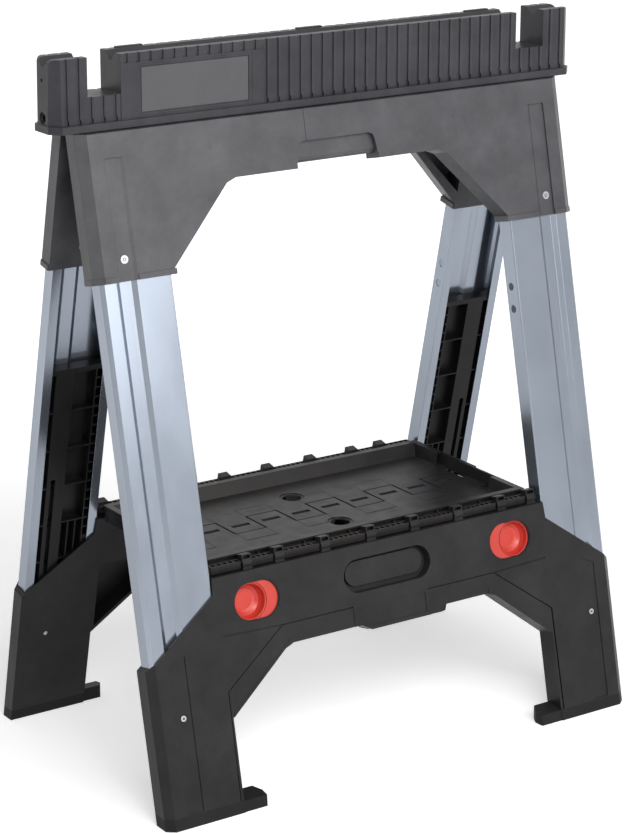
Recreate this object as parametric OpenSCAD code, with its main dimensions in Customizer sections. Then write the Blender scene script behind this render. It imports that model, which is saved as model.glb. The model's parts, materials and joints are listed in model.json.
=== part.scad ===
// Folding sawhorse with two telescoping leg frames and a fold-up tray.
// Millimetres. The floor is z = 0, the rail runs along X, the frames open along Y.
// Each frame is drawn in its own space: the hinge axis is the origin, the outer face
// lies at y = -frame_depth and the leg runs down -z. The rear frame, the rear bracket
// and the rear tray half are the front ones turned half a turn about Z.

/* [Overall] */
// Length of the top rail over its base flange
rail_length = 686; // [600:1:800]
// Height of the rail's top above the floor, legs in
stand_height = 803; // [760:1:860]
// Lean of each leg frame when the sawhorse is open
open_angle = 12.6; // [10:0.1:15]
// Distance from the hinge axis to a frame's outer face
frame_depth = 26; // [24:0.5:32]
// Length of the telescoping travel
leg_travel = 190; // [120:5:200]

/* [Top rail] */
// Height of the rail with its base flange
rail_height = 77; // [70:1:90]
// Width of the rail over its ribs
rail_width = 42; // [38:1:50]
// Wall thickness of the rail
rail_wall = 2.8; // [2:0.1:4]
// Height of the base flange
flange_height = 8; // [6:0.5:12]
// Width of the base flange
flange_width = 51; // [48:1:60]
// Inset of the rail's ends from the flange's ends
end_inset = 1.5; // [1:0.5:6]
// Draft of each end face from the flange to the top
end_draft = 1.8; // [0:0.1:3]
// Length of the slanted corner at each end of the rail
end_corner = 11; // [6:1:16]
// Width of the notch that takes a bearer
notch_width = 39.3; // [36:0.1:42]
// Depth of the notch
notch_depth = 41.5; // [30:0.5:50]
// Distance of a notch's middle from the rail's middle
notch_place = 279.8; // [240:0.5:290]
// Width of the V groove along the rail's top
vee_width = 22; // [14:0.5:26]
// Depth of the V groove
vee_depth = 10; // [6:0.5:14]
// Spacing of the upright ribs
rib_pitch = 14.4; // [10:0.1:20]
// Width of the gap between two ribs
rib_gap = 2.4; // [2:0.1:6]
// Depth of the gap between two ribs
rib_depth = 2.4; // [1:0.1:2.6]
// Width of the slope on each side of a rib
rib_slope = 2.6; // [1:0.1:4]
// Length of the plain panel on the rail's face
panel_length = 178; // [120:1:220]
// Distance of the panel's middle from the rail's middle
panel_place = 171.3; // [120:0.1:180]
// Height of the plain band left above the panel
panel_top = 10; // [8:0.5:16]
// Length of the blank plate set in the panel
plate_length = 134; // [90:1:160]
// Height of the blank plate set in the panel
plate_height = 49; // [30:1:52]
// Distance of the blank plate's middle from the rail's middle
plate_place = 169.3; // [120:0.1:180]

/* [Hinge] */
// Height of the hinge axis above the rail's base
hinge_rise = 15; // [13:0.5:20]
// Diameter of the hinge rod
rod_diameter = 8; // [6:0.5:10]
// Outside diameter of a hinge knuckle
knuckle_diameter = 17; // [14:0.5:20]
// Length of a hinge knuckle
knuckle_length = 20; // [12:1:24]

/* [Upper shell] */
// Length of the shell down the leg, measured from the hinge axis
shell_drop = 178; // [160:1:220]
// Half width of the shell
shell_half = 318; // [314:1:322]
// Drop of the arch's top below the hinge axis
arch_drop = 86; // [80:1:110]
// Half width of the arch at its top
arch_half = 134; // [100:1:150]
// Width of the slanted corner on the shells and brackets
corner_width = 11; // [6:0.5:12]
// Depth of the slanted corner
corner_depth = 8; // [5:0.5:10]
// Half width of the hand hold at its bottom
hold_half = 54; // [40:1:70]
// Height of the hand hold
hold_height = 29; // [20:1:34]

/* [Steel legs] */
// Width of a leg's face
leg_width = 85.5; // [70:0.5:90]
// Distance from the shell's outer side to a leg's outer side
leg_outset = 6.5; // [6:0.5:12]
// Sheet thickness
leg_sheet = 1.2; // [1:0.1:2.5]
// Distance from the hinge axis to a leg's face
leg_face = 23.7; // [21:0.1:24]
// Distance from the hinge axis to the leg's open side
leg_back = 3; // [2.6:0.1:4]
// Width of each return lip
leg_lip = 11; // [6:0.5:16]
// Width of the groove pressed along the leg
press_width = 25; // [20:1:30]
// Width of each slope of the pressed groove
press_slope = 5.5; // [4:0.5:8]
// Depth of the groove pressed along the leg
press_depth = 4; // [2:0.5:5]
// Top end of the leg below the hinge axis
leg_top = 50; // [30:1:70]
// Height of the leg's bottom end above the floor, along the leg
leg_rise = 14.3; // [13.3:0.1:24]
// Diameter of the holes in the leg's side
side_hole = 9; // [6:0.5:12]

/* [Lower bracket] */
// Height of the crosspiece's top above the floor, along the leg
cross_rise = 253.3; // [251.3:0.5:256.3]
// Height of the lower arch's top above the floor, along the leg
arch_rise = 163.8; // [157:0.5:169]
// Half width of the bracket
bracket_half = 316.5; // [315:0.5:320]
// Half width of the lower arch at its top
low_arch_half = 133; // [110:1:140]
// Width of the bracket's wall between its foot and the leg's inner side
foot_wall = 6; // [4:0.5:12]
// Wall of the bracket's face in front of its pockets
bracket_wall = 2.6; // [2.2:0.1:3]
// Length of the button window
window_length = 56; // [40:1:60]
// Height of the button window
window_height = 41; // [30:1:44]
// Distance of a button window's middle from the leg's inner side
window_inset = 53; // [46:1:60]
// Drop of the window's and the oval's middle below the crosspiece's top
window_fall = 34; // [30:0.5:36]
// Length of the oval recess in the crosspiece
oval_length = 118; // [90:1:130]
// Height of the oval recess
oval_height = 38; // [30:1:42]
// Depth of the trough round the oval's island
oval_depth = 12; // [8:0.5:14]
// Diameter of the foot screw's head
screw_head = 6.6; // [5.5:0.1:9]
// Width of a clip over the tray's hinge bar
clip_width = 12; // [8:0.5:14]
// Height of the rubber foot
pad_height = 13; // [9:0.5:16]
// Length of the foot's inward toe
toe_length = 30; // [20:1:40]

/* [Inner leg] */
// Length of the inner leg above the leg's bottom end
insert_length = 440; // [380:5:460]
// Spacing of the inner leg's cross ribs
insert_rib_pitch = 48; // [40:1:60]
// Spacing of the inner leg's rungs
rung_pitch = 12; // [10:0.5:16]
// Width of the inner leg's ladder
ladder_width = 12; // [9:0.5:16]
// Width of the inner leg's raised strip
strip_width = 20; // [14:1:24]

/* [Latch] */
// Diameter of the latch bolt
bolt_diameter = 10; // [8:0.5:12]
// Distance a button slides
latch_travel = 14; // [10:0.5:16]
// Height of the latch slider
latch_height = 50; // [46:0.5:50]
// Diameter of the thumb dish in the slider
dish_diameter = 38; // [32:0.5:40]
// Depth of the thumb dish
dish_depth = 13; // [8:0.5:14]

/* [Tray] */
// Height of the tray's rim above the floor
rim_height = 264; // [262:0.5:266]
// Height of the tray's floor above the ground
tray_floor = 249; // [248.5:0.5:251]
// Reach of the tray's hinge bar from its long wall
bar_reach = 15; // [15:0.5:17]
// Slope of the long wall's inner face, from rim to floor
wall_slope = 5; // [0:0.5:8]
// Gap between the tray's end and the leg
tray_clear = 4; // [3:0.5:12]
// Wall thickness of the tray
tray_wall = 2.6; // [2:0.1:2.8]
// Width of one finger of the tray's seam
finger_pitch = 41; // [38:0.5:42]
// Reach of a finger past the middle
finger_reach = 39; // [38.5:0.5:42]
// Reach of the moulded frame round each slot of the seam
frame_reach = 22; // [16:1:30]
// Reach of an end wall past the middle
end_lap = 14; // [10:1:20]
// Overhang of the tray's rim
rim_flange = 3.5; // [1:0.5:5]
// Diameter of the round holes in the tray
hole_diameter = 23; // [16:1:26]
// Diameter of the tray's hinge bar
bar_diameter = 5.6; // [4:0.2:7]
// Height of the hinge bar's axis above the floor
bar_height = 256.5; // [256:0.5:257.5]
// Depth of the hinge bar's axis below the bracket's outer face
bar_depth = 13.6; // [12.6:0.1:14.6]

/* [Fits] */
// Radial clearance of a pin in its bore
pin_gap = 0.06; // [0.02:0.01:0.1]
// Clearance of parts that slide or pass each other
slide_gap = 0.4; // [0.3:0.05:0.6]
// Clearance between two fingers of the tray
finger_gap = 0.4; // [0.4:0.1:1]

/* [Hidden] */
$fn = 40;
rail_base = stand_height - rail_height;
hinge_z = rail_base + hinge_rise;
floor_drop = hinge_z/cos(open_angle);
rod_length = rail_length - 2*end_inset - 26;
rod_bore = rod_diameter + 2*pin_gap;
body_half = rail_length/2 - end_inset;
plate_depth = 1.2;
panel_raise = 0.9;
bore_mouth = 13;
outer_side = shell_half - leg_outset;
leg_inner = outer_side - leg_width;
leg_bottom = floor_drop - leg_rise;
cross_drop = floor_drop - cross_rise;
low_arch_drop = floor_drop - arch_rise;
foot_inner = leg_inner - foot_wall;
foot_end = floor_drop + frame_depth;
press_mid = leg_inner + leg_width/2 + 12;
rivet_drop = shell_drop - 23;
shell_groove = 2.2;
screw_drop = leg_bottom - 98;
latch_drop = cross_drop + window_fall + 1;
window_drop = cross_drop + window_fall;
window_place = leg_inner - window_inset;
insert_top = leg_bottom - insert_length;
slider_from = window_place - window_length/2 - 9;
room_from = slider_from - latch_travel - 7.5;
tray_end = leg_inner - tray_clear;
bolt_axis = 13;
bar_out = frame_depth - bar_depth;
bar_place = (bar_out + (hinge_z - bar_height)*sin(open_angle))/cos(open_angle);
bar_drop = bar_place*sin(open_angle) + (hinge_z - bar_height)*cos(open_angle);
tray_half = bar_place - bar_reach;

// ---- shared helpers ----

// Puts a shape drawn in frame space into the open front frame.
module in_front_frame() {
  translate([0, 0, hinge_z])
    rotate([-open_angle, 0, 0])
      children();
}

// Draws a shape on the left as well, mirrored about the middle.
module both_sides() {
  children();
  mirror([1, 0, 0]) children();
}

// Turns front parts into rear parts.
module to_rear() {
  rotate([0, 0, 180]) children();
}

// Pushes a drawing in X and drop (down the leg) through a depth from y = back to y = face.
// Points are [x, drop].
module through(face, back) {
  translate([0, -back, 0])
    rotate([90, 0, 0])
      linear_extrude(face - back)
        mirror([0, 1]) children();
}

// A drawing of [y, drop] points pushed along X from x0 to x1.
module along(x0, x1) {
  translate([x0, 0, 0])
    rotate([90, 0, 90])
      linear_extrude(x1 - x0)
        mirror([0, 1]) children();
}

// A box in frame space by x range, depth range (distance outward) and drop range.
module block(x0, x1, n0, n1, s0, s1) {
  translate([x0, -n1, -s1]) cube([x1 - x0, n1 - n0, s1 - s0]);
}

// A cylinder along X.
module bar_x(x0, x1, d) {
  translate([x0, 0, 0]) rotate([0, 90, 0]) cylinder(d = d, h = x1 - x0);
}

// A cylinder through a frame's depth at [x, drop].
module bar_y(x, s, n0, n1, d) {
  translate([x, -n0, -s]) rotate([90, 0, 0]) cylinder(d = d, h = n1 - n0);
}

// A slot shape with round ends, long in x.
module stadium(length, height) {
  square([length - height, height], center = true);
  translate([(length - height)/2, 0]) circle(d = height, $fn = 48);
  translate([-(length - height)/2, 0]) circle(d = height, $fn = 48);
}

// ---- top rail ----

module rail_plan(half, w, cx, cy) {
  polygon([[-half, -w/2 + cy], [-half + cx, -w/2], [half - cx, -w/2], [half, -w/2 + cy],
    [half, w/2 - cy], [half - cx, w/2], [-half + cx, w/2], [-half, w/2 - cy]]);
}

// Upright gaps on the front face; they stop above the flange in a deeper pocket.
module rib_gaps() {
  count = floor(body_half/rib_pitch);
  half = rib_gap/2;
  face = rail_width/2;
  panel_from = -panel_place - panel_length/2;
  panel_to = -panel_place + panel_length/2;
  for (k = [-count:count]) {
    x = (k + 0.5)*rib_pitch;
    covered = x > panel_from - rib_gap && x < panel_to + rib_gap;
    low = covered ? stand_height - panel_top : rail_base + flange_height + 4;
    clear = abs(x) < body_half - end_corner - 3;
    if (clear)
      translate([x, 0, low]) linear_extrude(stand_height - low + 1)
        polygon([[-half - rib_slope, -face - 1], [-half - rib_slope, -face], [-half, -face + 1],
          [-half, -face + rib_depth], [half, -face + rib_depth], [half, -face + 1],
          [half + rib_slope, -face], [half + rib_slope, -face - 1]]);
    if (!covered && clear)
      translate([x - half - 1, -face - 1, rail_base + flange_height])
        cube([rib_gap + 2, 1 + rib_depth, 5]);
  }
}

// The raised panel on the rail's face.
module rail_panel() {
  low = rail_base + flange_height;
  translate([-panel_place - panel_length/2, -rail_width/2 - panel_raise, low])
    cube([panel_length, panel_raise + 1, stand_height - panel_top - low]);
}

// Recess for the blank plate, with a step round it.
module plate_recess() {
  low = rail_base + flange_height;
  middle = (low + stand_height - panel_top)/2;
  face = -rail_width/2 - panel_raise;
  translate([-plate_place - plate_length/2, face - 1, middle - plate_height/2])
    cube([plate_length, 1 + plate_depth, plate_height]);
  translate([-plate_place - plate_length/2 - 4, face - 1, middle - plate_height/2 - 2.5])
    cube([plate_length + 8, 1.4, plate_height + 5]);
}

// Draft of the rail's end face, with a rounded top corner.
module end_slant() {
  low = rail_base + flange_height;
  r = 5;
  top = body_half - end_draft;
  translate([0, rail_width, 0]) rotate([90, 0, 0]) linear_extrude(2*rail_width)
    polygon([[body_half, low], [top, stand_height], [top, stand_height + 5],
      [body_half + 5, stand_height + 5], [body_half + 5, low]]);
  difference() {
    translate([top - r, -rail_width, stand_height - r]) cube([r + 3, 2*rail_width, r + 3]);
    translate([top - r, rail_width + 1, stand_height - r]) rotate([90, 0, 0])
      cylinder(r = r, h = 2*rail_width + 2);
  }
}

// Hollow underside between the cross webs; webs carry the hinge rod.
module rail_hollow() {
  inside = rail_width - 2*(rib_depth + rail_wall);
  top = stand_height - vee_depth - 4.5;
  notch_in = notch_place - notch_width/2;
  notch_out = notch_place + notch_width/2;
  low_top = stand_height - notch_depth - 3;
  room = [[-notch_in + 5, -183.5], [-180.5, -53.5], [-50.5, 50.5], [53.5, 180.5], [183.5, notch_in - 5]];
  for (r = room)
    translate([r[0], -inside/2, rail_base - 1]) cube([r[1] - r[0], inside, top - rail_base + 1]);
  both_sides() {
    translate([notch_in + 1, -inside/2, rail_base - 1])
      cube([notch_width - 1, inside, low_top - rail_base + 1]);
    translate([notch_out + 4, -inside/2, rail_base - 1])
      cube([body_half - end_corner - notch_out - 4, inside, top - rail_base - 3]);
  }
}

module rail() color([0.30, 0.30, 0.32]) {
  difference() {
    union() {
      translate([0, 0, rail_base])
        linear_extrude(flange_height) rail_plan(rail_length/2, flange_width, end_corner, end_corner);
      translate([0, 0, rail_base])
        linear_extrude(rail_height) rail_plan(body_half, rail_width, end_corner, end_corner - 1);
      rail_panel();
      to_rear() rail_panel();
      for (x = [-body_half + 113.5, 0.5, body_half - 110.5])
        translate([x - 16, rail_width/2 - 6, stand_height - 1]) cube([32, 5, 2.5]);
      // ring round each end of the bore
      both_sides()
        translate([body_half - 2, 0, hinge_z]) rotate([0, 90, 0]) cylinder(d = bore_mouth + 4, h = 3);
    }
    rib_gaps();
    to_rear() rib_gaps();
    plate_recess();
    to_rear() plate_recess();
    rail_hollow();
    both_sides() end_slant();
    // V groove along the top
    translate([-rail_length/2 - 1, 0, stand_height])
      rotate([90, 0, 90])
        linear_extrude(rail_length + 2)
          polygon([[-vee_width/2 - 1, 1], [-vee_width/2, 0], [0, -vee_depth],
            [vee_width/2, 0], [vee_width/2 + 1, 1]]);
    // notches for two bearers
    both_sides()
      translate([notch_place - notch_width/2, -rail_width, stand_height - notch_depth])
        cube([notch_width, 2*rail_width, notch_depth + 5]);
    // hinge rod bore, with a wide mouth at each end
    translate([0, 0, hinge_z]) bar_x(-rail_length/2 - 3, rail_length/2 + 3, rod_bore);
    both_sides()
      translate([body_half - 2, 0, hinge_z]) rotate([0, 90, 0]) cylinder(d = bore_mouth, h = 10);
    both_sides()
      translate([body_half - rail_wall - 2, 2, stand_height - 23]) rotate([0, 90, 0])
        cylinder(d = 4, h = 12);
  }
}

// One blank plate in each panel of the rail.
module one_blank_plate() {
  middle = (rail_base + flange_height + stand_height - panel_top)/2;
  face = -rail_width/2 - panel_raise;
  translate([-plate_place - plate_length/2 + 1, face + 0.5, middle - plate_height/2 + 1])
    cube([plate_length - 2, plate_depth - 0.5, plate_height - 2]);
}

module blank_plate() color([0.36, 0.36, 0.38]) {
  one_blank_plate();
  to_rear() one_blank_plate();
}

module hinge_rod() color([0.62, 0.63, 0.65])
  translate([0, 0, hinge_z]) bar_x(-rod_length/2, rod_length/2, rod_diameter);

// ---- steel legs ----

// Outside of the leg's section, in plan: [x, y].
function leg_section() = [
  [leg_inner, -leg_back], [leg_inner, -leg_face + 1.5], [leg_inner + 1.5, -leg_face],
  [press_mid - press_width/2, -leg_face],
  [press_mid - press_width/2 + press_slope, -leg_face + press_depth],
  [press_mid + press_width/2 - press_slope, -leg_face + press_depth],
  [press_mid + press_width/2, -leg_face],
  [outer_side - 4, -leg_face], [outer_side, -leg_face + 4], [outer_side, -leg_back]];

module leg_shape() {
  t = leg_sheet;
  k = 0.414*t;
  m = press_slope/press_depth*t*0.5;
  b = press_mid - press_width/2;
  e = press_mid + press_width/2;
  lip_in = leg_inner + leg_lip;
  lip_out = outer_side - leg_lip;
  difference() {
    translate([0, 0, -leg_bottom]) linear_extrude(leg_bottom - leg_top)
      polygon(concat(leg_section(), [
        [lip_out, -leg_back], [lip_out, -leg_back - t], [outer_side - t, -leg_back - t],
        [outer_side - t, -leg_face + 4 + k], [outer_side - 4 - k, -leg_face + t],
        [e + m - k, -leg_face + t], [e - press_slope + m - k, -leg_face + press_depth + t],
        [b + press_slope - m + k, -leg_face + press_depth + t], [b - m + k, -leg_face + t],
        [leg_inner + 1.5 + k, -leg_face + t], [leg_inner + t, -leg_face + 1.5 + k],
        [leg_inner + t, -leg_back - t], [lip_in, -leg_back - t], [lip_in, -leg_back]]));
    // round holes in the inner side
    for (s = [0, 26])
      translate([leg_inner - 1, -12, -(shell_drop + 76 + s)]) rotate([0, 90, 0])
        cylinder(d = side_hole, h = 5);
    // long slot the latch bolt runs in
    for (s = [latch_drop, latch_drop + leg_travel])
      translate([leg_inner - 1, -bolt_axis, -s]) rotate([0, 90, 0])
        cylinder(d = bolt_diameter + 2*slide_gap, h = 5);
    block(leg_inner - 1, leg_inner + 4, bolt_axis - bolt_diameter/2 - slide_gap,
      bolt_axis + bolt_diameter/2 + slide_gap, latch_drop, latch_drop + leg_travel);
    // open slot at the foot end that clears the bracket's screw
    block(press_mid - 4.5, press_mid + 4.5, bolt_axis, leg_face + 1, screw_drop, leg_bottom + 1);
    bar_y(press_mid, screw_drop, bolt_axis, leg_face + 1, 9);
    // rivet hole
    bar_y(press_mid, rivet_drop, bolt_axis, leg_face + 1, 5);
  }
}

module leg_right() color([0.60, 0.64, 0.70]) in_front_frame() leg_shape();
module leg_left() color([0.60, 0.64, 0.70]) in_front_frame() mirror([1, 0, 0]) leg_shape();
module front_leg_left() leg_left();
module front_leg_right() leg_right();
module rear_leg_left() to_rear() leg_right();
module rear_leg_right() to_rear() leg_left();

// ---- upper shell ----

// Plan of shells and brackets with the slanted outer corners: [x, y].
module frame_plan() {
  polygon([[-shell_half + corner_width, -frame_depth], [shell_half - corner_width, -frame_depth],
    [shell_half, -frame_depth + corner_depth], [shell_half, -0.5], [-shell_half, -0.5],
    [-shell_half, -frame_depth + corner_depth]]);
}

// Places of this frame's hinge knuckles; the other frame's fall between them.
knuckle_places = [-285, -95, 125, 239];

module upper_shell_shape() {
  rim = 1.2;
  bay = 80;
  difference() {
    union() {
      intersection() {
        through(frame_depth, 0.5)
          polygon([[-shell_half, 16], [shell_half, 16], [shell_half, shell_drop],
            [leg_inner - 4, shell_drop], [leg_inner - 4, shell_drop - 7],
            [arch_half + 12, arch_drop + 4.6], [arch_half, arch_drop],
            [-arch_half, arch_drop], [-arch_half - 12, arch_drop + 4.6],
            [-leg_inner + 4, shell_drop - 7], [-leg_inner + 4, shell_drop], [-shell_half, shell_drop]]);
        translate([0, 0, -shell_drop - 1]) linear_extrude(shell_drop) frame_plan();
        along(-shell_half - 1, shell_half + 1)
          polygon([[-frame_depth - 1, 22.8], [-8.5, 17.8], [0, 17.8], [0, shell_drop + 1],
            [-frame_depth - 1, shell_drop + 1]]);
      }
      // flared rim round the foot of each side
      both_sides() translate([0, 0, -shell_drop]) linear_extrude(6)
        polygon([[leg_inner - 4 - rim, -frame_depth - rim],
          [shell_half - corner_width, -frame_depth - rim], [shell_half + rim, -frame_depth + corner_depth],
          [shell_half + rim, -2], [leg_inner - 4 - rim, -2]]);
      for (x = knuckle_places) {
        bar_x(x - knuckle_length/2, x + knuckle_length/2, knuckle_diameter);
        block(x - knuckle_length/2, x + knuckle_length/2, 0.5, knuckle_diameter/2, 0, 20);
      }
    }
    for (x = knuckle_places)
      bar_x(x - knuckle_length/2 - 1, x + knuckle_length/2 + 1, rod_bore);
    // sockets that take the legs
    both_sides()
      translate([0, 0, -shell_drop - 1]) linear_extrude(shell_drop + 1 - leg_top + 0.01)
        polygon(leg_section());
    // hollow of the header, in bays; shallower behind the hand hold
    for (k = [-2:2]) {
      x = (k - 0.5)*bay;
      deep = x < hold_half && x + bay > -hold_half ? frame_depth - 12 : frame_depth - 3;
      block(x + 1.5, x + bay - 1.5, 3, deep, 27, arch_drop - 9);
    }
    // hollow beside each leg, under the arch's flank
    both_sides()
      through(frame_depth - 3, -1)
        polygon([[arch_half - 8, arch_drop - 16], [leg_inner - 3, arch_drop - 16],
          [leg_inner - 3, shell_drop - 22], [arch_half + 12, arch_drop - 5]]);
    // grooves that carry the leg's pressed line upward, sloped on the inner side
    both_sides()
      translate([0, 0, -shell_drop - 1]) linear_extrude(shell_drop - 48)
        polygon([[press_mid - 13.5, -frame_depth - 3], [press_mid - 13.5, -frame_depth],
          [press_mid - 9.5, -frame_depth + shell_groove], [press_mid + 9.5, -frame_depth + shell_groove],
          [press_mid + 9.5, -frame_depth - 3]]);
    // hand hold: the outer wall opens downward, with rounded upper corners
    through(frame_depth + 1, frame_depth - 6) hand_hold_shape();
    // the grip behind it stands higher and is rounded under
    block(-hold_half, hold_half, 0, frame_depth + 1, arch_drop - 6, arch_drop + 1);
    along(-hold_half, hold_half)
      polygon([[-frame_depth + 5, arch_drop], [-frame_depth + 5, arch_drop - 11],
        [-frame_depth + 6.2, arch_drop - 11], [-frame_depth + 7.4, arch_drop - 8.4],
        [-frame_depth + 9.6, arch_drop - 6.6], [-frame_depth + 13, arch_drop - 5.5],
        [-frame_depth + 13, arch_drop]]);
    both_sides() bar_y(press_mid, rivet_drop, 0, frame_depth + 1, 5);
    // parting line down the header
    block(-39.6, -38.8, frame_depth - 0.6, frame_depth + 1, 16, arch_drop - hold_height);
  }
}

// Outline of the hand hold: [x, drop].
module hand_hold_shape() {
  top = arch_drop - hold_height;
  r = 7;
  polygon([[-hold_half + 3.5, top + r], [-hold_half + 5.6, top + 2], [-hold_half + r + 4, top],
    [hold_half - r - 4, top], [hold_half - 5.6, top + 2], [hold_half - 3.5, top + r],
    [hold_half, arch_drop + 1], [-hold_half, arch_drop + 1]]);
}

module upper_shell() color([0.33, 0.33, 0.35]) in_front_frame() upper_shell_shape();
module front_upper_shell() upper_shell();
module rear_upper_shell() to_rear() upper_shell();

// One rivet through shell and leg at each side.
module shell_rivets() color([0.80, 0.81, 0.83]) in_front_frame() both_sides() {
  bar_y(press_mid, rivet_drop, 0.2, frame_depth - shell_groove + 1, 4.9);
  bar_y(press_mid, rivet_drop, frame_depth - shell_groove, frame_depth - shell_groove + 1.2, 9);
}
module front_shell_rivets() shell_rivets();
module rear_shell_rivets() to_rear() shell_rivets();

// ---- lower bracket ----

// Outline of the bracket's face: [x, drop]. The lip under the plate is set off to one side.
module bracket_outline() {
  half = low_arch_half;
  y0 = low_arch_drop;
  top = cross_drop;
  side = leg_inner;
  polygon([[-side, top], [side, top], [side + 1.5, top + 18.5], [bracket_half, top + 83.5],
    [bracket_half, foot_end], [foot_inner, foot_end], [foot_inner, y0 + 65], [half + 11, y0 + 4],
    [half, y0],
    [72.5, y0], [69.5, y0 + 7.3], [-29, y0 + 7.3], [-42, y0], [-half, y0], [-half - 11, y0 + 4],
    [-foot_inner, y0 + 65], [-foot_inner, foot_end], [-bracket_half, foot_end], [-bracket_half, top + 83.5],
    [-side - 1.5, top + 18.5]]);
}

// The band beside the arch lies a step lower than the face, with a groove at its edge.
module bracket_step() {
  y0 = low_arch_drop;
  half = low_arch_half;
  in = foot_inner;
  both_sides() {
    through(frame_depth + 1, frame_depth - 0.7)
      polygon([[51, y0 - 23], [half + 12, y0 - 23], [in + 3, y0 + 35], [in + 5, foot_end],
        [in - 1, foot_end],
        [in - 1, y0 + 60], [half + 2, y0 - 6], [half + 2, y0 + 12], [51, y0 + 12]]);
    through(frame_depth + 1, frame_depth - 2.2)
      polygon([[51, y0 - 23], [half + 12, y0 - 23], [in + 3, y0 + 35], [in + 5, foot_end],
        [in + 3.6, foot_end],
        [in + 1.6, y0 + 35.6], [half + 11.4, y0 - 21.6], [51, y0 - 21.6]]);
    // the same line runs on toward the foot's side
    through(frame_depth + 1, frame_depth - 1.2)
      polygon([[half + 11, y0 - 23], [in + 1, y0 - 26], [in + 1, y0 - 24.6], [half + 12, y0 - 21.6]]);
    // shallow channel that carries the leg's pressed line down the foot
    through(frame_depth + 1, frame_depth - 1.1)
      polygon([[press_mid - 10, y0 - 15], [press_mid + 10, y0 - 6], [press_mid + 10, y0 + 155],
        [press_mid - 10, y0 + 155]]);
  }
}

// Pockets in the inner side of the crosspiece, between moulded ribs.
module bracket_pockets() {
  y0 = low_arch_drop;
  deep = frame_depth - bracket_wall;
  behind_oval = frame_depth - oval_depth - 4;
  low = y0 - 3;
  for (x = [-112, -74.5, -37, 0.5, 38, 75.5])
    block(x + 1, x + 35.5, 0, x > -75 && x < 60 ? behind_oval : deep, cross_drop + 3, low);
  // under the latch, following the arch
  both_sides()
    through(deep, -1)
      polygon([[room_from, latch_drop + 27.5], [foot_inner - 3, latch_drop + 27.5],
        [foot_inner - 3, y0 + 57], [low_arch_half + 13, y0 + 0.5], [low_arch_half + 1, y0 - 3],
        [room_from, y0 - 3]]);
}

// Room for one latch behind its window, and the bolt's bore.
module latch_room() {
  h = latch_height/2 + slide_gap;
  front = frame_depth - bracket_wall;
  mid = latch_drop - 2;
  block(room_from, foot_inner - 0.5, 8 - slide_gap, front + slide_gap, mid - h, mid + h);
  translate([foot_inner - 1, -bolt_axis, -latch_drop]) rotate([0, 90, 0])
    cylinder(d = bolt_diameter + 2*slide_gap, h = 10);
}

// Clips over the tray's hinge bar, at uneven places for a tray 222 to each side.
clip_marks = [-175, -133.4, -72.7, -11.4, 48.8, 110.4, 172.3, 215];
clip_places = [for (c = clip_marks) c*tray_end/222];

module clip_shapes() {
  w = clip_width/2;
  for (x = clip_places)
    difference() {
      union() {
        block(x - w, x + w, bar_out - 4, bar_out + 6, bar_drop - 10, cross_drop + 1);
        translate([0, -bar_out, -bar_drop]) bar_x(x - w, x + w, 14);
      }
      translate([0, -bar_out, -bar_drop]) bar_x(x - w - 1, x + w + 1, bar_diameter + 2*pin_gap);
      // hollow crown between two cheeks
      block(x - w + 1.4, x + w - 1.4, bar_out - 1, bar_out + 8, bar_drop - 8.6, bar_drop - 5);
    }
}

// Plan of the socket a leg slides in.
module socket_section() {
  g = slide_gap;
  face = -leg_face - g + 0.1;
  polygon([[leg_inner - g, -leg_back + g], [leg_inner - g, face], [outer_side - 3.5, face],
    [outer_side + g, -leg_face + 3.5 - g], [outer_side + g, -leg_back + g]]);
}

// Plan of the bracket with its slanted outer corners: [x, y].
module bracket_plan() {
  w = corner_width - 2;
  d = corner_depth - 1;
  polygon([[-bracket_half + w, -frame_depth], [bracket_half - w, -frame_depth],
    [bracket_half, -frame_depth + d], [bracket_half, -0.5], [-bracket_half, -0.5],
    [-bracket_half, -frame_depth + d]]);
}

module bracket_shape() {
  socket_floor = leg_bottom + 0.8;
  difference() {
    union() {
      intersection() {
        through(frame_depth, 0.5) bracket_outline();
        translate([0, 0, -foot_end - 1]) linear_extrude(foot_end - cross_drop + 2) bracket_plan();
      }
      clip_shapes();
    }
    bracket_step();
    bracket_pockets();
    both_sides() {
      // socket for the telescoping leg, open at the top
      translate([0, 0, -socket_floor]) linear_extrude(socket_floor + 1 - cross_drop) socket_section();
      // window in front of the button, with an eased edge
      translate([window_place, 0, 0]) {
        through(frame_depth + 1, frame_depth - 4)
          translate([0, window_drop]) stadium(window_length, window_height);
        through(frame_depth + 1, frame_depth - 0.8)
          translate([0, window_drop]) stadium(window_length + 2.4, window_height + 2.4);
      }
      latch_room();
      bar_y(press_mid, screw_drop, 0, frame_depth + 1, 5);
      bar_y(press_mid, screw_drop, frame_depth - 1.9, frame_depth + 1, screw_head + 1.6);
    }
    // oval recess: a raised island in a deeper trough
    through(frame_depth + 1, frame_depth - 7)
      translate([0, window_drop]) stadium(oval_length, oval_height);
    through(frame_depth - 6, frame_depth - oval_depth)
      difference() {
        translate([0, window_drop]) stadium(oval_length, oval_height);
        translate([0, window_drop - 1.5]) stadium(oval_length - 13, oval_height - 10);
      }
    // the bare plate beneath it lies in a shallow frame
    through(frame_depth + 1, frame_depth - 0.8)
      polygon([[-47, low_arch_drop - 20], [47, low_arch_drop - 20], [47, low_arch_drop + 3],
        [-26, low_arch_drop + 3],
        [-47, low_arch_drop - 2]]);
  }
}

// Keeps what lies above a level height, for parts placed in the open frame.
module above(z0) {
  translate([-rail_length, -rail_length, z0]) cube([2*rail_length, 2*rail_length, stand_height]);
}

module bracket() color([0.22, 0.22, 0.23]) intersection() {
  in_front_frame() bracket_shape();
  above(pad_height);
}
module front_bracket() bracket();
module rear_bracket() to_rear() bracket();

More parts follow.
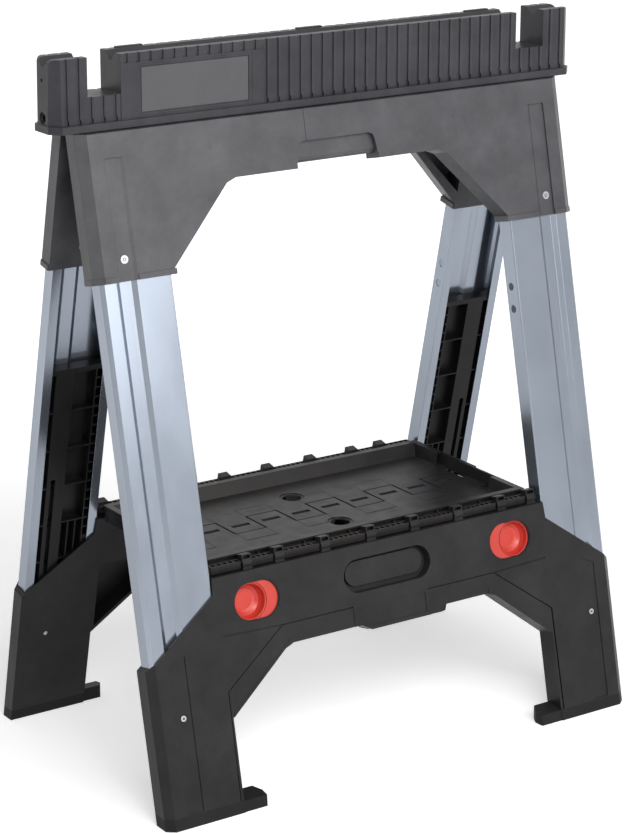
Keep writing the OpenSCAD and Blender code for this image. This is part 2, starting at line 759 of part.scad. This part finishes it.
// Screws through the foot's socket.
module bracket_screws() color([0.80, 0.81, 0.83]) in_front_frame() both_sides() {
  bar_y(press_mid, screw_drop, 0.7, frame_depth - 1, 4.9);
  bar_y(press_mid, screw_drop, frame_depth - 1.9, frame_depth - 1, screw_head);
}
module front_bracket_screws() bracket_screws();
module rear_bracket_screws() to_rear() bracket_screws();

// ---- inner leg ----

// A ribbed moulding inside the channel: ladder, two rows of bays and a raised strip between.
module inner_leg_shape() {
  x0 = leg_inner + leg_sheet + slide_gap + 0.3;
  x1 = outer_side - leg_sheet - slide_gap - 0.3;
  n1 = leg_face - press_depth - leg_sheet - slide_gap;
  n0 = leg_back + leg_sheet + slide_gap + 0.2;
  s0 = insert_top;
  s1 = leg_bottom + 0.8;
  rib = 1.6;
  ladder = x0 + 2.5 + ladder_width;
  strip = press_mid - strip_width/2 + 2;
  strip_end = strip + strip_width;
  last = screw_drop - 20;
  difference() {
    block(x0, x1, n0, n1, s0, s1);
    // ladder bays on the inner side
    for (s = [s0 + 6:rung_pitch:last])
      if (abs(s + rung_pitch/2 - latch_drop) > 12)
        block(x0 + 2, ladder, n0 - 1, n1 - 2.2, s, s + rung_pitch - 1.8);
    for (s = [s0 + 6:insert_rib_pitch:last - insert_rib_pitch]) {
      end = s + insert_rib_pitch - rib;
      // inner bays, split by two ribs near the latch
      if (end < latch_drop - 30)
        block(ladder + rib, strip - rib, n0 - 1, n1 - 2.2, s, end);
      else
        for (k = [0, 1, 2])
          block(ladder + rib + k*(strip - ladder - rib)/3, strip - rib - (2 - k)*(strip - ladder - rib)/3,
            n0 - 1, n1 - 2.2, s, end);
      // outer bays
      block(strip_end + rib, x1 - 2, n0 - 1, n1 - 2.2, s, end);
      // hollow of the strip, open toward the leg's face
      block(strip + rib, strip_end - rib, n0 + 4, n1 + 1, s, end);
    }
    // long slot in the strip
    block(strip_end - 9, strip_end - 3.5, n0 - 1, n0 + 5, s0 + 3*insert_rib_pitch - 5, last - 4);
    // pocket that takes the latch bolt
    translate([leg_inner, -bolt_axis, -latch_drop]) rotate([0, 90, 0])
      cylinder(d = bolt_diameter + 2*slide_gap + 0.6, h = 16);
    bar_y(press_mid, screw_drop, 0, frame_depth, 5);
  }
}
module inner_leg_right() color([0.10, 0.10, 0.11]) in_front_frame() inner_leg_shape();
module inner_leg_left() color([0.10, 0.10, 0.11]) in_front_frame() mirror([1, 0, 0]) inner_leg_shape();
module front_inner_leg_left() inner_leg_left();
module front_inner_leg_right() inner_leg_right();
module rear_inner_leg_left() to_rear() inner_leg_right();
module rear_inner_leg_right() to_rear() inner_leg_left();

// ---- feet ----

module foot_shape() {
  // outer edge of the face at floor level
  out = frame_depth/cos(open_angle) + hinge_z*tan(open_angle);
  toe = foot_inner - toe_length;
  reach = 2*stand_height;
  difference() {
    intersection() {
      in_front_frame() intersection() {
        block(foot_inner, bracket_half, 0.5, frame_depth, floor_drop - 60, foot_end);
        translate([0, 0, -foot_end - 1]) linear_extrude(100) bracket_plan();
      }
      translate([0, -reach, 0]) cube([bracket_half + 5, 2*reach, pad_height]);
    }
    // groove along the pad's face
    translate([foot_inner - 1, -out - 8, pad_height/2])
      cube([bracket_half, 9 - pad_height/2*tan(open_angle), 1.4]);
  }
  // toe with a slanted end, its root joined to the pad below the bracket
  intersection() {
    difference() {
      translate([toe - 1, -reach, -1]) cube([toe_length + 2, 2*reach, pad_height + 6]);
      translate([foot_inner, -reach, pad_height]) cube([5, 2*reach, 10]);
    }
    translate([toe, 0, 0]) rotate([90, 0, 90]) linear_extrude(toe_length + 0.5)
      polygon([[-out + 1, 0], [-out + 24, 0], [-out + 25, pad_height + 3], [-out + 3.4, pad_height - 1]]);
    linear_extrude(pad_height + 20)
      polygon([[toe + 3, -out - 5], [foot_inner + 1, -out - 5], [foot_inner + 1, -out + 30],
        [toe + 9, -out + 30],
        [toe, -out + 14], [toe, -out + 5]]);
  }
}
module foot_right() color([0.13, 0.13, 0.14]) foot_shape();
module foot_left() color([0.13, 0.13, 0.14]) mirror([1, 0, 0]) foot_shape();
module front_foot_left() foot_left();
module front_foot_right() foot_right();
module rear_foot_left() to_rear() foot_right();
module rear_foot_right() to_rear() foot_left();

// ---- latches ----

// A slider with a round thumb dish behind the window, and its bolt.
module latch_shape() {
  h = latch_height/2;
  mid = latch_drop - 2;
  r = dish_diameter/2;
  face = frame_depth - bracket_wall;
  dish = window_place + (window_length - window_height)/2;
  difference() {
    block(slider_from, foot_inner - 1, 8, face, mid - h, mid + h);
    // the dish, its foot rounded
    translate([dish, -face, -window_drop]) rotate([-90, 0, 0]) rotate_extrude()
      polygon([[0, -1], [r + 1, -1], [r, 0.8], [r - 0.4, dish_depth - 7], [r - 2.4, dish_depth - 3],
        [r - 6, dish_depth - 0.6], [r - 9, dish_depth], [0, dish_depth]]);
    // a fine line round the dish
    translate([dish, -face, -window_drop]) rotate([-90, 0, 0]) rotate_extrude()
      polygon([[r + 1.4, -1], [r + 2.4, -1], [r + 2.4, 1.2], [r + 1.4, 1.2]]);
  }
  translate([foot_inner - 4, -bolt_axis, -latch_drop]) rotate([0, 90, 0])
    cylinder(d = bolt_diameter, h = leg_inner - foot_inner + 14);
}
module latch_right() color([0.84, 0.26, 0.22]) in_front_frame() latch_shape();
module latch_left() color([0.84, 0.26, 0.22]) in_front_frame() mirror([1, 0, 0]) latch_shape();
module front_latch_left() latch_left();
module front_latch_right() latch_right();
module rear_latch_left() to_rear() latch_right();
module rear_latch_right() to_rear() latch_left();

// ---- tray ----

// Half a tray, drawn open in the front half. Fingers take every second place.
module tray_shape() {
  t = tray_wall;
  top = tray_floor;
  low = tray_floor - t;
  g = finger_gap/2;
  scarf = 8;
  inner_end = tray_end - t - slide_gap;
  difference() {
    union() {
      // floor sheet that stops short of the middle, its edge cut on a slant
      translate([-tray_end, 0, 0]) rotate([90, 0, 90]) linear_extrude(tray_end + inner_end)
        polygon([[-tray_half, low], [-finger_reach, low], [-finger_reach - scarf, top], [-tray_half, top]]);
      // fingers
      for (k = [-4, -2, 0, 2, 4]) {
        x0 = k*finger_pitch + g;
        x1 = k == 4 ? tray_end - 11.4 : (k + 1)*finger_pitch - g;
        translate([x0, 0, 0]) rotate([90, 0, 90]) linear_extrude(x1 - x0)
          polygon([[-finger_reach - scarf - 2, low], [finger_reach - 0.8, low],
            [finger_reach + scarf - 0.8, top], [-finger_reach - scarf - 2, top]]);
      }
      // long wall: a slanted inner face, a rim and a skirt
      translate([-tray_end, -tray_half, 0]) rotate([90, 0, 90]) linear_extrude(tray_end + inner_end)
        polygon([[0, low - 1.8], [1.8, low - 1.8], [1.8, low], [wall_slope + t + 4, low],
          [wall_slope + t + 4, top], [t + 1.9, rim_height], [-rim_flange, rim_height],
          [-rim_flange, rim_height - 2.4], [0, rim_height - 2.4]]);
      // end walls: they pass each other side by side
      end_wall(inner_end, -finger_reach - 16);
      mirror([1, 0, 0]) end_wall(tray_end, -finger_reach - 16);
      translate([inner_end - t, -tray_half, low]) cube([t, tray_half + end_lap, rim_height - low]);
      translate([inner_end - 9, -finger_reach - 2, low]) cube([8, finger_reach, t]);
      translate([-tray_end, -tray_half, low]) cube([t, tray_half + end_lap, rim_height - low]);
      // hinge bar, its gussets and its open cells
      translate([0, -bar_place, bar_height]) bar_x(-tray_end + 2, inner_end - 1, bar_diameter);
      for (i = [0:6]) tray_arm(clip_places[i] + clip_width/2 + 1, clip_places[i + 1] - clip_width/2 - 1);
      tray_arm(-tray_end + 2, clip_places[0] - clip_width/2 - 1);
      for (k = [-6:6])
        if (min([for (c = clip_places) abs(30.4*k + 2 - c)]) > clip_width/2 + 2) gusset(30.4*k + 2);
    }
    // slots along the middle
    for (k = [-4, -2, 0, 2, 4])
      translate([(k + 0.5)*finger_pitch - 12, -3.5, low - 1]) cube([24, 7, t + 2]);
    // moulded frame round each slot of the seam
    for (k = [-4, -2, 0, 2, 4]) {
      translate([k*finger_pitch, frame_reach - 1.2, top - 1.2]) cube([finger_pitch, 1.8, 2]);
      for (x = [k*finger_pitch, (k + 1)*finger_pitch])
        translate([x - 1.4, -frame_reach, top - 1.2]) cube([2.8, 2*frame_reach, 2]);
    }
    // round holes with a countersunk edge
    for (y = [-50, 50])
      translate([0, y, 0]) {
        translate([0, 0, low - 1]) cylinder(d = hole_diameter, h = t + 2);
        translate([0, 0, top - 1]) cylinder(d = hole_diameter + 6, h = 2);
      }
  }
}

// End wall from the long wall to y = lap: outer face, flat rim and slanted inner face.
module end_wall(out, lap) {
  low = tray_floor - tray_wall;
  translate([0, lap, 0]) rotate([90, 0, 0]) linear_extrude(tray_half + lap - 0.5)
    polygon([[out, low], [out, rim_height], [out - 8, rim_height], [out - 11, tray_floor], [out - 11, low],
      [out - 8, low], [out - 6, rim_height - 2.2], [out - 2.2, rim_height - 2.2], [out - 2.2, low]]);
}

// A thin triangle under the rim, from the wall to the hinge bar.
module gusset(x) {
  translate([x - 0.8, 0, 0]) rotate([90, 0, 90]) linear_extrude(1.6)
    polygon([[-tray_half + 0.5, bar_height - 5], [-tray_half - bar_reach + 7.5, bar_height - 1.2],
      [-tray_half - bar_reach + 7.5, bar_height + 1.2], [-tray_half + 0.5, rim_height - 1]]);
}

// Part of the hinge bar between two clips: a web to the wall, two rails and thin ribs.
module tray_arm(x0, x1) {
  n = max(1, round((x1 - x0)/7.2));
  step = (x1 - x0 - 1.4)/n;
  r = 4.4;
  translate([x0, -bar_place, bar_height - 1.2]) cube([x1 - x0, bar_place - tray_half + 1, 2.4]);
  for (y = [-r, r - 1.2])
    translate([x0, -bar_place + y, bar_height - r]) cube([x1 - x0, 1.2, 2*r]);
  for (i = [0:n])
    translate([x0 + i*step, -bar_place - r, bar_height - r]) cube([1.4, 2*r, 2*r]);
}

module tray_half_body() color([0.24, 0.24, 0.25]) tray_shape();
module front_tray_half() tray_half_body();
module rear_tray_half() to_rear() tray_half_body();

rail();
blank_plate();
hinge_rod();
front_upper_shell();
front_leg_left();
front_leg_right();
front_shell_rivets();
rear_upper_shell();
rear_leg_left();
rear_leg_right();
rear_shell_rivets();
front_bracket();
front_inner_leg_left();
front_inner_leg_right();
front_foot_left();
front_foot_right();
front_bracket_screws();
rear_bracket();
rear_inner_leg_left();
rear_inner_leg_right();
rear_foot_left();
rear_foot_right();
rear_bracket_screws();
front_latch_left();
front_latch_right();
rear_latch_left();
rear_latch_right();
front_tray_half();
rear_tray_half();
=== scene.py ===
# %% [markdown]
# # A folding sawhorse, dressed
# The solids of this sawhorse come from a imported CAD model, which is the frame for all
# that follows. This lesson gives each moulding, sheet and pin the finish of the real one,
# adds the small pieces that the solids leave out, and sets up a plain studio round it.

# %% Load the frame
import json
import math

import bmesh
import bpy
from mathutils import Matrix, Vector


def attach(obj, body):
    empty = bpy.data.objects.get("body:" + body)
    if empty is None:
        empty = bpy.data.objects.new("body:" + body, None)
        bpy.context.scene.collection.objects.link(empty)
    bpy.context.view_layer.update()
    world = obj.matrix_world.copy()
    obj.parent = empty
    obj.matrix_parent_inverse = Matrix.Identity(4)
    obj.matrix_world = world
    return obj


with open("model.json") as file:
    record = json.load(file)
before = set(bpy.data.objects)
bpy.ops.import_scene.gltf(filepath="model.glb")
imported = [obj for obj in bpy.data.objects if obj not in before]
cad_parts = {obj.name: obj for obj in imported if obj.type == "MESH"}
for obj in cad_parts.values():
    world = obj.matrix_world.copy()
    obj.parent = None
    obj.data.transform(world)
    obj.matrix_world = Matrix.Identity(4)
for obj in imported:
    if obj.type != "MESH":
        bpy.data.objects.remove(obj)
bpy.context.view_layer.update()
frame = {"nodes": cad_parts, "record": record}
nodes = frame["nodes"]

# %% [markdown]
# ## Small helpers for materials
# Every finish here is a node tree on the Principled shader. A helper that adds a node and
# links it keeps each recipe short, so that the numbers that matter stay easy to see.

# %% Node helpers
def new_finish(name, roughness, metallic=0.0, gloss=0.5):
    """A material with its shader, ready for more nodes."""
    material = bpy.data.materials.new(name)
    material.use_nodes = True
    shader = material.node_tree.nodes["Principled BSDF"]
    shader.inputs["Roughness"].default_value = roughness
    shader.inputs["Metallic"].default_value = metallic
    shader.inputs["Specular IOR Level"].default_value = gloss
    return material, material.node_tree, shader


def add(tree, kind, **settings):
    """One node, with its input values and its own settings filled in."""
    node = tree.nodes.new(kind)
    for key, value in settings.items():
        if key in node.inputs:
            node.inputs[key].default_value = value
        else:
            setattr(node, key, value)
    return node


def object_space(tree, stretch=(1, 1, 1)):
    """The piece's own coordinates, scaled along each axis."""
    place = add(tree, "ShaderNodeTexCoord")
    mapping = add(tree, "ShaderNodeMapping", Scale=stretch)
    tree.links.new(place.outputs["Object"], mapping.inputs["Vector"])
    return mapping.outputs["Vector"]


def cloud(tree, where, size, detail=3.0, rough=0.5):
    """Noise whose blobs are about size metres across, as a value."""
    noise = add(tree, "ShaderNodeTexNoise", Scale=1.0 / size, Detail=detail, Roughness=rough)
    tree.links.new(where, noise.inputs["Vector"])
    return noise.outputs["Fac"]


def spread(tree, value, low, high, from_low=0.3, from_high=0.7):
    """Maps a value on to a range of numbers."""
    ranger = add(tree, "ShaderNodeMapRange")
    ranger.inputs["From Min"].default_value = from_low
    ranger.inputs["From Max"].default_value = from_high
    ranger.inputs["To Min"].default_value = low
    ranger.inputs["To Max"].default_value = high
    tree.links.new(value, ranger.inputs["Value"])
    return ranger.outputs["Result"]


def blend_colours(tree, value, dark, light):
    """A colour between dark and light."""
    mix = add(tree, "ShaderNodeMix", data_type="RGBA")
    mix.inputs["A"].default_value = (*dark, 1)
    mix.inputs["B"].default_value = (*light, 1)
    tree.links.new(value, mix.inputs["Factor"])
    return mix.outputs["Result"]


def dent(tree, shader, *layers, edge=0.0):
    """Bump layers of (value, depth in metres), over an edge softened by edge metres."""
    normal = None
    if edge:
        soft = add(tree, "ShaderNodeBevel", Radius=edge, samples=4)
        normal = soft.outputs["Normal"]
    for value, depth in layers:
        bump = add(tree, "ShaderNodeBump", Strength=1.0, Distance=depth)
        tree.links.new(value, bump.inputs["Height"])
        if normal is not None:
            tree.links.new(normal, bump.inputs["Normal"])
        normal = bump.outputs["Normal"]
    tree.links.new(normal, shader.inputs["Normal"])


# %% [markdown]
# ## Moulded plastic
# Tool housings and stands are moulded in filled polypropylene with a fine spark-eroded
# grain. The grain scatters the light, so the plastic looks satin. Large moulded faces
# also show faint flow marks. Two clouds of different size give both.

# %% Grained plastic
GRAIN = 0.0009
FLOW = 0.055
STREAK = 0.02
STREAK_DEPTH = 0.00012
MOULD_EDGE = 0.0006


def grained_plastic(name, dark, light, roughness, gloss, grain_depth=0.00004):
    """Plastic between two tones, with flow marks, streaks in its gloss and a fine grain."""
    material, tree, shader = new_finish(name, roughness, gloss=gloss)
    where = object_space(tree)
    flow = cloud(tree, where, FLOW, 8.0, 0.68)
    grain = cloud(tree, where, GRAIN, 2.0)
    streak = cloud(tree, object_space(tree, (1.0, 1.0, 0.25)), STREAK, 5.0, 0.65)
    tone = blend_colours(tree, spread(tree, flow, 0.0, 1.0), dark, light)
    tree.links.new(tone, shader.inputs["Base Color"])
    uneven = spread(tree, streak, roughness - 0.06, roughness + 0.08)
    tree.links.new(uneven, shader.inputs["Roughness"])
    dent(tree, shader, (grain, grain_depth), (streak, STREAK_DEPTH), edge=MOULD_EDGE)
    return material


shell_plastic = grained_plastic(
    "shell_plastic_grained", (0.026, 0.026, 0.031), (0.068, 0.068, 0.075), 0.40, 0.50)
rail_plastic = grained_plastic(
    "rail_plastic_grained", (0.018, 0.018, 0.022), (0.042, 0.042, 0.048), 0.38, 0.28)
bracket_plastic = grained_plastic(
    "bracket_plastic_grained", (0.013, 0.012, 0.013), (0.027, 0.026, 0.027), 0.40, 0.16)
tray_plastic = grained_plastic(
    "tray_plastic_grained", (0.014, 0.013, 0.013), (0.023, 0.021, 0.020), 0.36, 0.20)
inner_plastic = grained_plastic(
    "inner_plastic_black", (0.005, 0.005, 0.006), (0.009, 0.009, 0.010), 0.40, 0.20)
plate_plastic = grained_plastic(
    "plate_plastic_bare", (0.064, 0.064, 0.069), (0.078, 0.078, 0.083), 0.40, 0.36, 0.00002)
foot_rubber = grained_plastic(
    "foot_rubber_matt", (0.010, 0.010, 0.011), (0.016, 0.016, 0.017), 0.60, 0.15, 0.00006)
print("grained finishes: 7, grain", GRAIN * 1000, "mm, flow marks", FLOW * 1000, "mm")

# %% [markdown]
# ## Red catches
# The sliding catches are the only colour on the sawhorse: a smooth red plastic, a little
# glossier than the housings so that a thumb finds and slides on it.

# %% Red plastic
CATCH_EDGE = 0.0008


def red_plastic():
    """Smooth red plastic with a very slight unevenness."""
    material, tree, shader = new_finish("latch_plastic_red", 0.34)
    where = object_space(tree)
    tone = blend_colours(
        tree, cloud(tree, where, 0.03), (0.50, 0.038, 0.024), (0.58, 0.048, 0.032))
    tree.links.new(tone, shader.inputs["Base Color"])
    dent(tree, shader, (cloud(tree, where, 0.0012), 0.00003), edge=CATCH_EDGE)
    return material


latch_plastic = red_plastic()
print("red finish:", latch_plastic.name)

# %% [markdown]
# ## Sheet steel
# The legs are rolled from thin coated sheet. The coating is a satin blue-grey with faint
# lines along the leg from the rolls, so its clouds are stretched along Z.

# %% Rolled sheet
SHEET_EDGE = 0.0007
ROLL_LINE = 0.0012


def rolled_sheet():
    """Coated sheet: lines along the leg and a slow change of tone and gloss."""
    material, tree, shader = new_finish("leg_steel_satin", 0.20, 0.85)
    lines = cloud(tree, object_space(tree, (1.0, 1.0, 0.012)), ROLL_LINE, 3.0, 0.6)
    mottle = cloud(tree, object_space(tree, (1, 1, 0.5)), 0.045, 3.0)
    tone = blend_colours(
        tree, spread(tree, mottle, 0.0, 1.0), (0.262, 0.294, 0.345), (0.290, 0.324, 0.378))
    tree.links.new(tone, shader.inputs["Base Color"])
    tree.links.new(spread(tree, mottle, 0.17, 0.22), shader.inputs["Roughness"])
    dent(tree, shader, (lines, 0.00001), edge=SHEET_EDGE)
    return material


def bright_metal(name, colour, roughness):
    """Bare metal with light wear, for the rod and the fasteners."""
    material, tree, shader = new_finish(name, roughness, 1.0)
    wear = cloud(tree, object_space(tree), 0.004, 4.0)
    tone = blend_colours(tree, wear, tuple(0.85 * c for c in colour), colour)
    tree.links.new(tone, shader.inputs["Base Color"])
    worn = spread(tree, wear, roughness - 0.06, roughness + 0.08)
    tree.links.new(worn, shader.inputs["Roughness"])
    dent(tree, shader, (wear, 0.00004), edge=0.0004)
    return material


leg_steel = rolled_sheet()
rod_steel = bright_metal("rod_steel_drawn", (0.30, 0.31, 0.33), 0.30)
fastener_steel = bright_metal("fastener_steel_zinc", (0.46, 0.46, 0.48), 0.30)
print("metal finishes:", leg_steel.name, rod_steel.name, fastener_steel.name)

# %% [markdown]
# ## Giving each node its finish
# The record names a material slot for every node, so one table is enough.

# %% Finishes on the solids
finishes = {
    "rail_plastic": rail_plastic, "plate_plastic": plate_plastic, "rod_steel": rod_steel,
    "shell_plastic": shell_plastic, "leg_steel": leg_steel, "fastener_steel": fastener_steel,
    "bracket_plastic": bracket_plastic, "inner_plastic": inner_plastic,
    "foot_rubber": foot_rubber, "latch_plastic": latch_plastic, "tray_plastic": tray_plastic,
}
for part in frame["record"]["subparts"]:
    solid = nodes[part["node"]]
    solid.data.materials.clear()
    solid.data.materials.append(finishes[part["material_slot"]])

# %% [markdown]
# ## Small marks on the sloping frames
# The solids carry the screws and rivets as plain pins. The cross in a screw head, the
# drilled eye of a rivet and the ring that an ejector pin leaves in a moulding are too small
# for the solids, so they are drawn here as thin pieces that ride on the same bodies. The
# cross and the eye are flat near-black pieces: painted shade standing in for the depth of
# the recess. The ejector ring is a raised ring in the shell's own plastic. Both frames slope
# by the same angle from the hinge, so one matrix places a mark on either.

# %% The sloping plane
HINGE_HEIGHT = 0.741
SLOPE = math.radians(12.6)


def frame_plane(side):
    """Matrix of the sloping plane through the hinge: X along the rail, Y up it, Z outward."""
    up = Vector((0, math.sin(SLOPE), math.cos(SLOPE)))
    out = Vector((0, -math.cos(SLOPE), math.sin(SLOPE)))
    plane = Matrix.Identity(4)
    plane.col[1] = (*up, 0)
    plane.col[2] = (*out, 0)
    plane.col[3] = (0, 0, HINGE_HEIGHT, 1)
    return plane if side == "front" else Matrix.Rotation(math.pi, 4, "Z") @ plane


def spot(side, x, drop, outward):
    """The plane moved to a point: along the rail, down the slope and outward, in metres."""
    return frame_plane(side) @ Matrix.Translation((x, -drop, outward))


def show(name, work, finish, body):
    """The work as an object that rides on its body."""
    mesh = bpy.data.meshes.new(name)
    work.to_mesh(mesh)
    work.free()
    piece = bpy.data.objects.new(name, mesh)
    bpy.context.scene.collection.objects.link(piece)
    mesh.materials.append(finish)
    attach(piece, body)


# %% [markdown]
# A bar is a cube that is flattened, and a ring is a small closed outline spun once round the
# plane's outward axis. Both are a tenth of a millimetre thick; the dark crosses and eyes look
# drilled only because of their painted shade.

# %% Bars and rings
THIN = 0.00012


def bar(work, where, length, width, turn):
    """A thin flat bar, turned about the plane's outward axis."""
    size = Matrix.Diagonal((length, width, THIN, 1))
    bmesh.ops.create_cube(work, size=1, matrix=where @ Matrix.Rotation(turn, 4, "Z") @ size)


def ring(work, where, radius, inner, height=THIN):
    """A thin ring with a flat top and a slightly smaller outer edge at the top."""
    corners = ((radius, 0, 0), (radius - 0.2 * height, 0, height),
               (inner, 0, height), (inner, 0, 0))
    outline = [work.verts.new(where @ Vector(corner)) for corner in corners]
    edges = [work.edges.new(pair) for pair in zip(outline, outline[1:] + outline[:1])]
    bmesh.ops.spin(work, geom=outline + edges, cent=where.translation,
                   axis=where.col[2].to_3d(), angle=2 * math.pi, steps=40, use_merge=True)
    bmesh.ops.recalc_face_normals(work, faces=work.faces)


# %% [markdown]
# Each place below is where the solids have the same screw or rivet, so the marks lie on the
# heads. The ejector marks lie on the face of the shells.

# %% Screw crosses, rivet eyes and ejector marks
FASTENER_X = 0.28075
SCREW_DROP = 0.647
RIVET_DROP = 0.155
HEAD_OUT = 0.0250
EJECTOR_X = 0.1617
EJECTOR_DROP = 0.0510
SHELL_OUT = 0.0260
CROSS_TURN = 0.5

# Painted shade: the crosses and rivet eyes are near-black, standing in for the shade inside
# each recess.
shade_paint_for_recesses, _, slit_shader = new_finish("fastener_recess_painted_shade", 0.6)
slit_shader.inputs["Base Color"].default_value = (0.03, 0.03, 0.03, 1)

marks_made = 0
for side in ("front", "rear"):
    for hand, x in (("left", -FASTENER_X), ("right", FASTENER_X)):
        cross = bmesh.new()
        for turn in (CROSS_TURN, CROSS_TURN + math.pi / 2):
            bar(cross, spot(side, x, SCREW_DROP, HEAD_OUT + THIN / 2), 0.0036, 0.0009, turn)
        show(f"{side}_screw_cross_{hand}", cross, shade_paint_for_recesses, f"{side}_bracket")
        eye = bmesh.new()
        ring(eye, spot(side, x, RIVET_DROP, HEAD_OUT), 0.0019, 0.0012)
        show(f"{side}_rivet_eye_{hand}", eye, shade_paint_for_recesses, f"{side}_frame")
        marks_made += 2
    marks = bmesh.new()
    for x in (-EJECTOR_X, EJECTOR_X):
        ring(marks, spot(side, x, EJECTOR_DROP, SHELL_OUT), 0.0026, 0.0014)
    show(f"{side}_ejector_marks", marks, shell_plastic, f"{side}_frame")
    marks_made += 1
print("pieces with marks:", marks_made)

# %% [markdown]
# ## Studio
# The background is white, but the white must not light the sawhorse. A Light Path node tells
# what kind of ray asks for the colour. Rays from the camera, and those that a glossy or clear
# surface sends on, are shown the white. Light that bounces about is shown a dimmer world.

# %% What the camera and reflections see
def seen_straight(tree):
    """One for the camera's rays and for reflections, zero for light that bounces."""
    rays = add(tree, "ShaderNodeLightPath")
    first = add(tree, "ShaderNodeMath", operation="MAXIMUM")
    tree.links.new(rays.outputs["Is Camera Ray"], first.inputs[0])
    tree.links.new(rays.outputs["Is Glossy Ray"], first.inputs[1])
    both = add(tree, "ShaderNodeMath", operation="MAXIMUM")
    tree.links.new(first.outputs["Value"], both.inputs[0])
    tree.links.new(rays.outputs["Is Transmission Ray"], both.inputs[1])
    return both.outputs["Value"]


# %% [markdown]
# The floor is one large square just under the feet. It is pale, and for the camera and for
# reflections it also glows a little, more so further out. It runs into the white background
# in this way, while the sawhorse keeps its shadow near the feet.

# %% Floor
FLOOR_HALF = 9.0
FLOOR_GAP = 0.0005
FLOOR_GLOW = 0.56
GLOW_NEAR, GLOW_FAR = 0.6, 1.8


def studio_floor():
    """A pale floor just under the feet, whose glow grows with distance from the middle."""
    mesh = bpy.data.meshes.new("studio_floor")
    work = bmesh.new()
    bmesh.ops.create_grid(work, x_segments=1, y_segments=1, size=FLOOR_HALF)
    bmesh.ops.translate(work, verts=work.verts, vec=(0, 0, -FLOOR_GAP))
    work.to_mesh(mesh)
    work.free()
    floor = bpy.data.objects.new("studio_floor", mesh)
    bpy.context.scene.collection.objects.link(floor)
    material, tree, shader = new_finish("studio_floor_white", 0.9)
    shader.inputs["Base Color"].default_value = (0.86, 0.86, 0.86, 1)
    shader.inputs["Emission Color"].default_value = (1, 1, 1, 1)
    far = add(tree, "ShaderNodeVectorMath", operation="LENGTH")
    tree.links.new(object_space(tree), far.inputs[0])
    glow = add(tree, "ShaderNodeMath", operation="MULTIPLY")
    level = spread(tree, far.outputs["Value"], FLOOR_GLOW, 1.0, GLOW_NEAR, GLOW_FAR)
    tree.links.new(level, glow.inputs[0])
    tree.links.new(seen_straight(tree), glow.inputs[1])
    tree.links.new(glow.outputs["Value"], shader.inputs["Emission Strength"])
    mesh.materials.append(material)
    return floor


print("floor:", studio_floor().name)

# %% [markdown]
# Three soft lamps: a small key light from the front left gives the forms their shadows, a
# broad light from the front brings out the grain, and a weak light from behind draws the
# far edges.

# %% Lamps and world
LAMP_AIM = (0, 0, 0.5)
WORLD_LEVEL = 0.11


def soft_light(name, place, size, power):
    """A rectangular lamp that points at the middle of the sawhorse."""
    lamp = bpy.data.lights.new(name, "AREA")
    lamp.shape = "RECTANGLE"
    lamp.size, lamp.size_y = size
    lamp.energy = power
    holder = bpy.data.objects.new(name, lamp)
    holder.location = place
    holder.rotation_mode = "QUATERNION"
    holder.rotation_quaternion = (Vector(LAMP_AIM) - Vector(place)).to_track_quat("-Z", "Y")
    bpy.context.scene.collection.objects.link(holder)


soft_light("key_light", (-1.0, -2.0, 1.9), (0.9, 0.9), 28)
soft_light("broad_light", (0.3, -3.0, 2.06), (2.5, 2.8), 92)
soft_light("back_light", (-0.6, 3.0, 2.0), (2.4, 1.6), 9)

world = bpy.data.worlds.new("studio_world")
world.use_nodes = True
bpy.context.scene.world = world
world_tree = world.node_tree
background = world_tree.nodes["Background"]
background.inputs["Color"].default_value = (1, 1, 1, 1)
strength = add(world_tree, "ShaderNodeMapRange")
strength.inputs["To Min"].default_value = WORLD_LEVEL
strength.inputs["To Max"].default_value = 1.0
world_tree.links.new(seen_straight(world_tree), strength.inputs["Value"])
world_tree.links.new(strength.outputs["Result"], background.inputs["Strength"])
print("lamps:", len(bpy.data.lights), "world level:", WORLD_LEVEL)

# %% [markdown]
# ## Camera
# A long lens from the front left and a little above, which keeps the legs nearly parallel.

# %% Camera
lens = bpy.data.cameras.new("studio_camera")
lens.lens = 113.878
lens.sensor_width = 36
camera = bpy.data.objects.new("studio_camera", lens)
camera.location = (-1.6129, -2.3795, 1.2546)
camera.rotation_euler = (math.radians(72.7237), math.radians(-0.1416), math.radians(-34.0093))
bpy.context.scene.collection.objects.link(camera)
bpy.context.scene.camera = camera
bpy.context.scene.view_settings.view_transform = "Standard"
print("camera:", [round(v, 3) for v in camera.location])
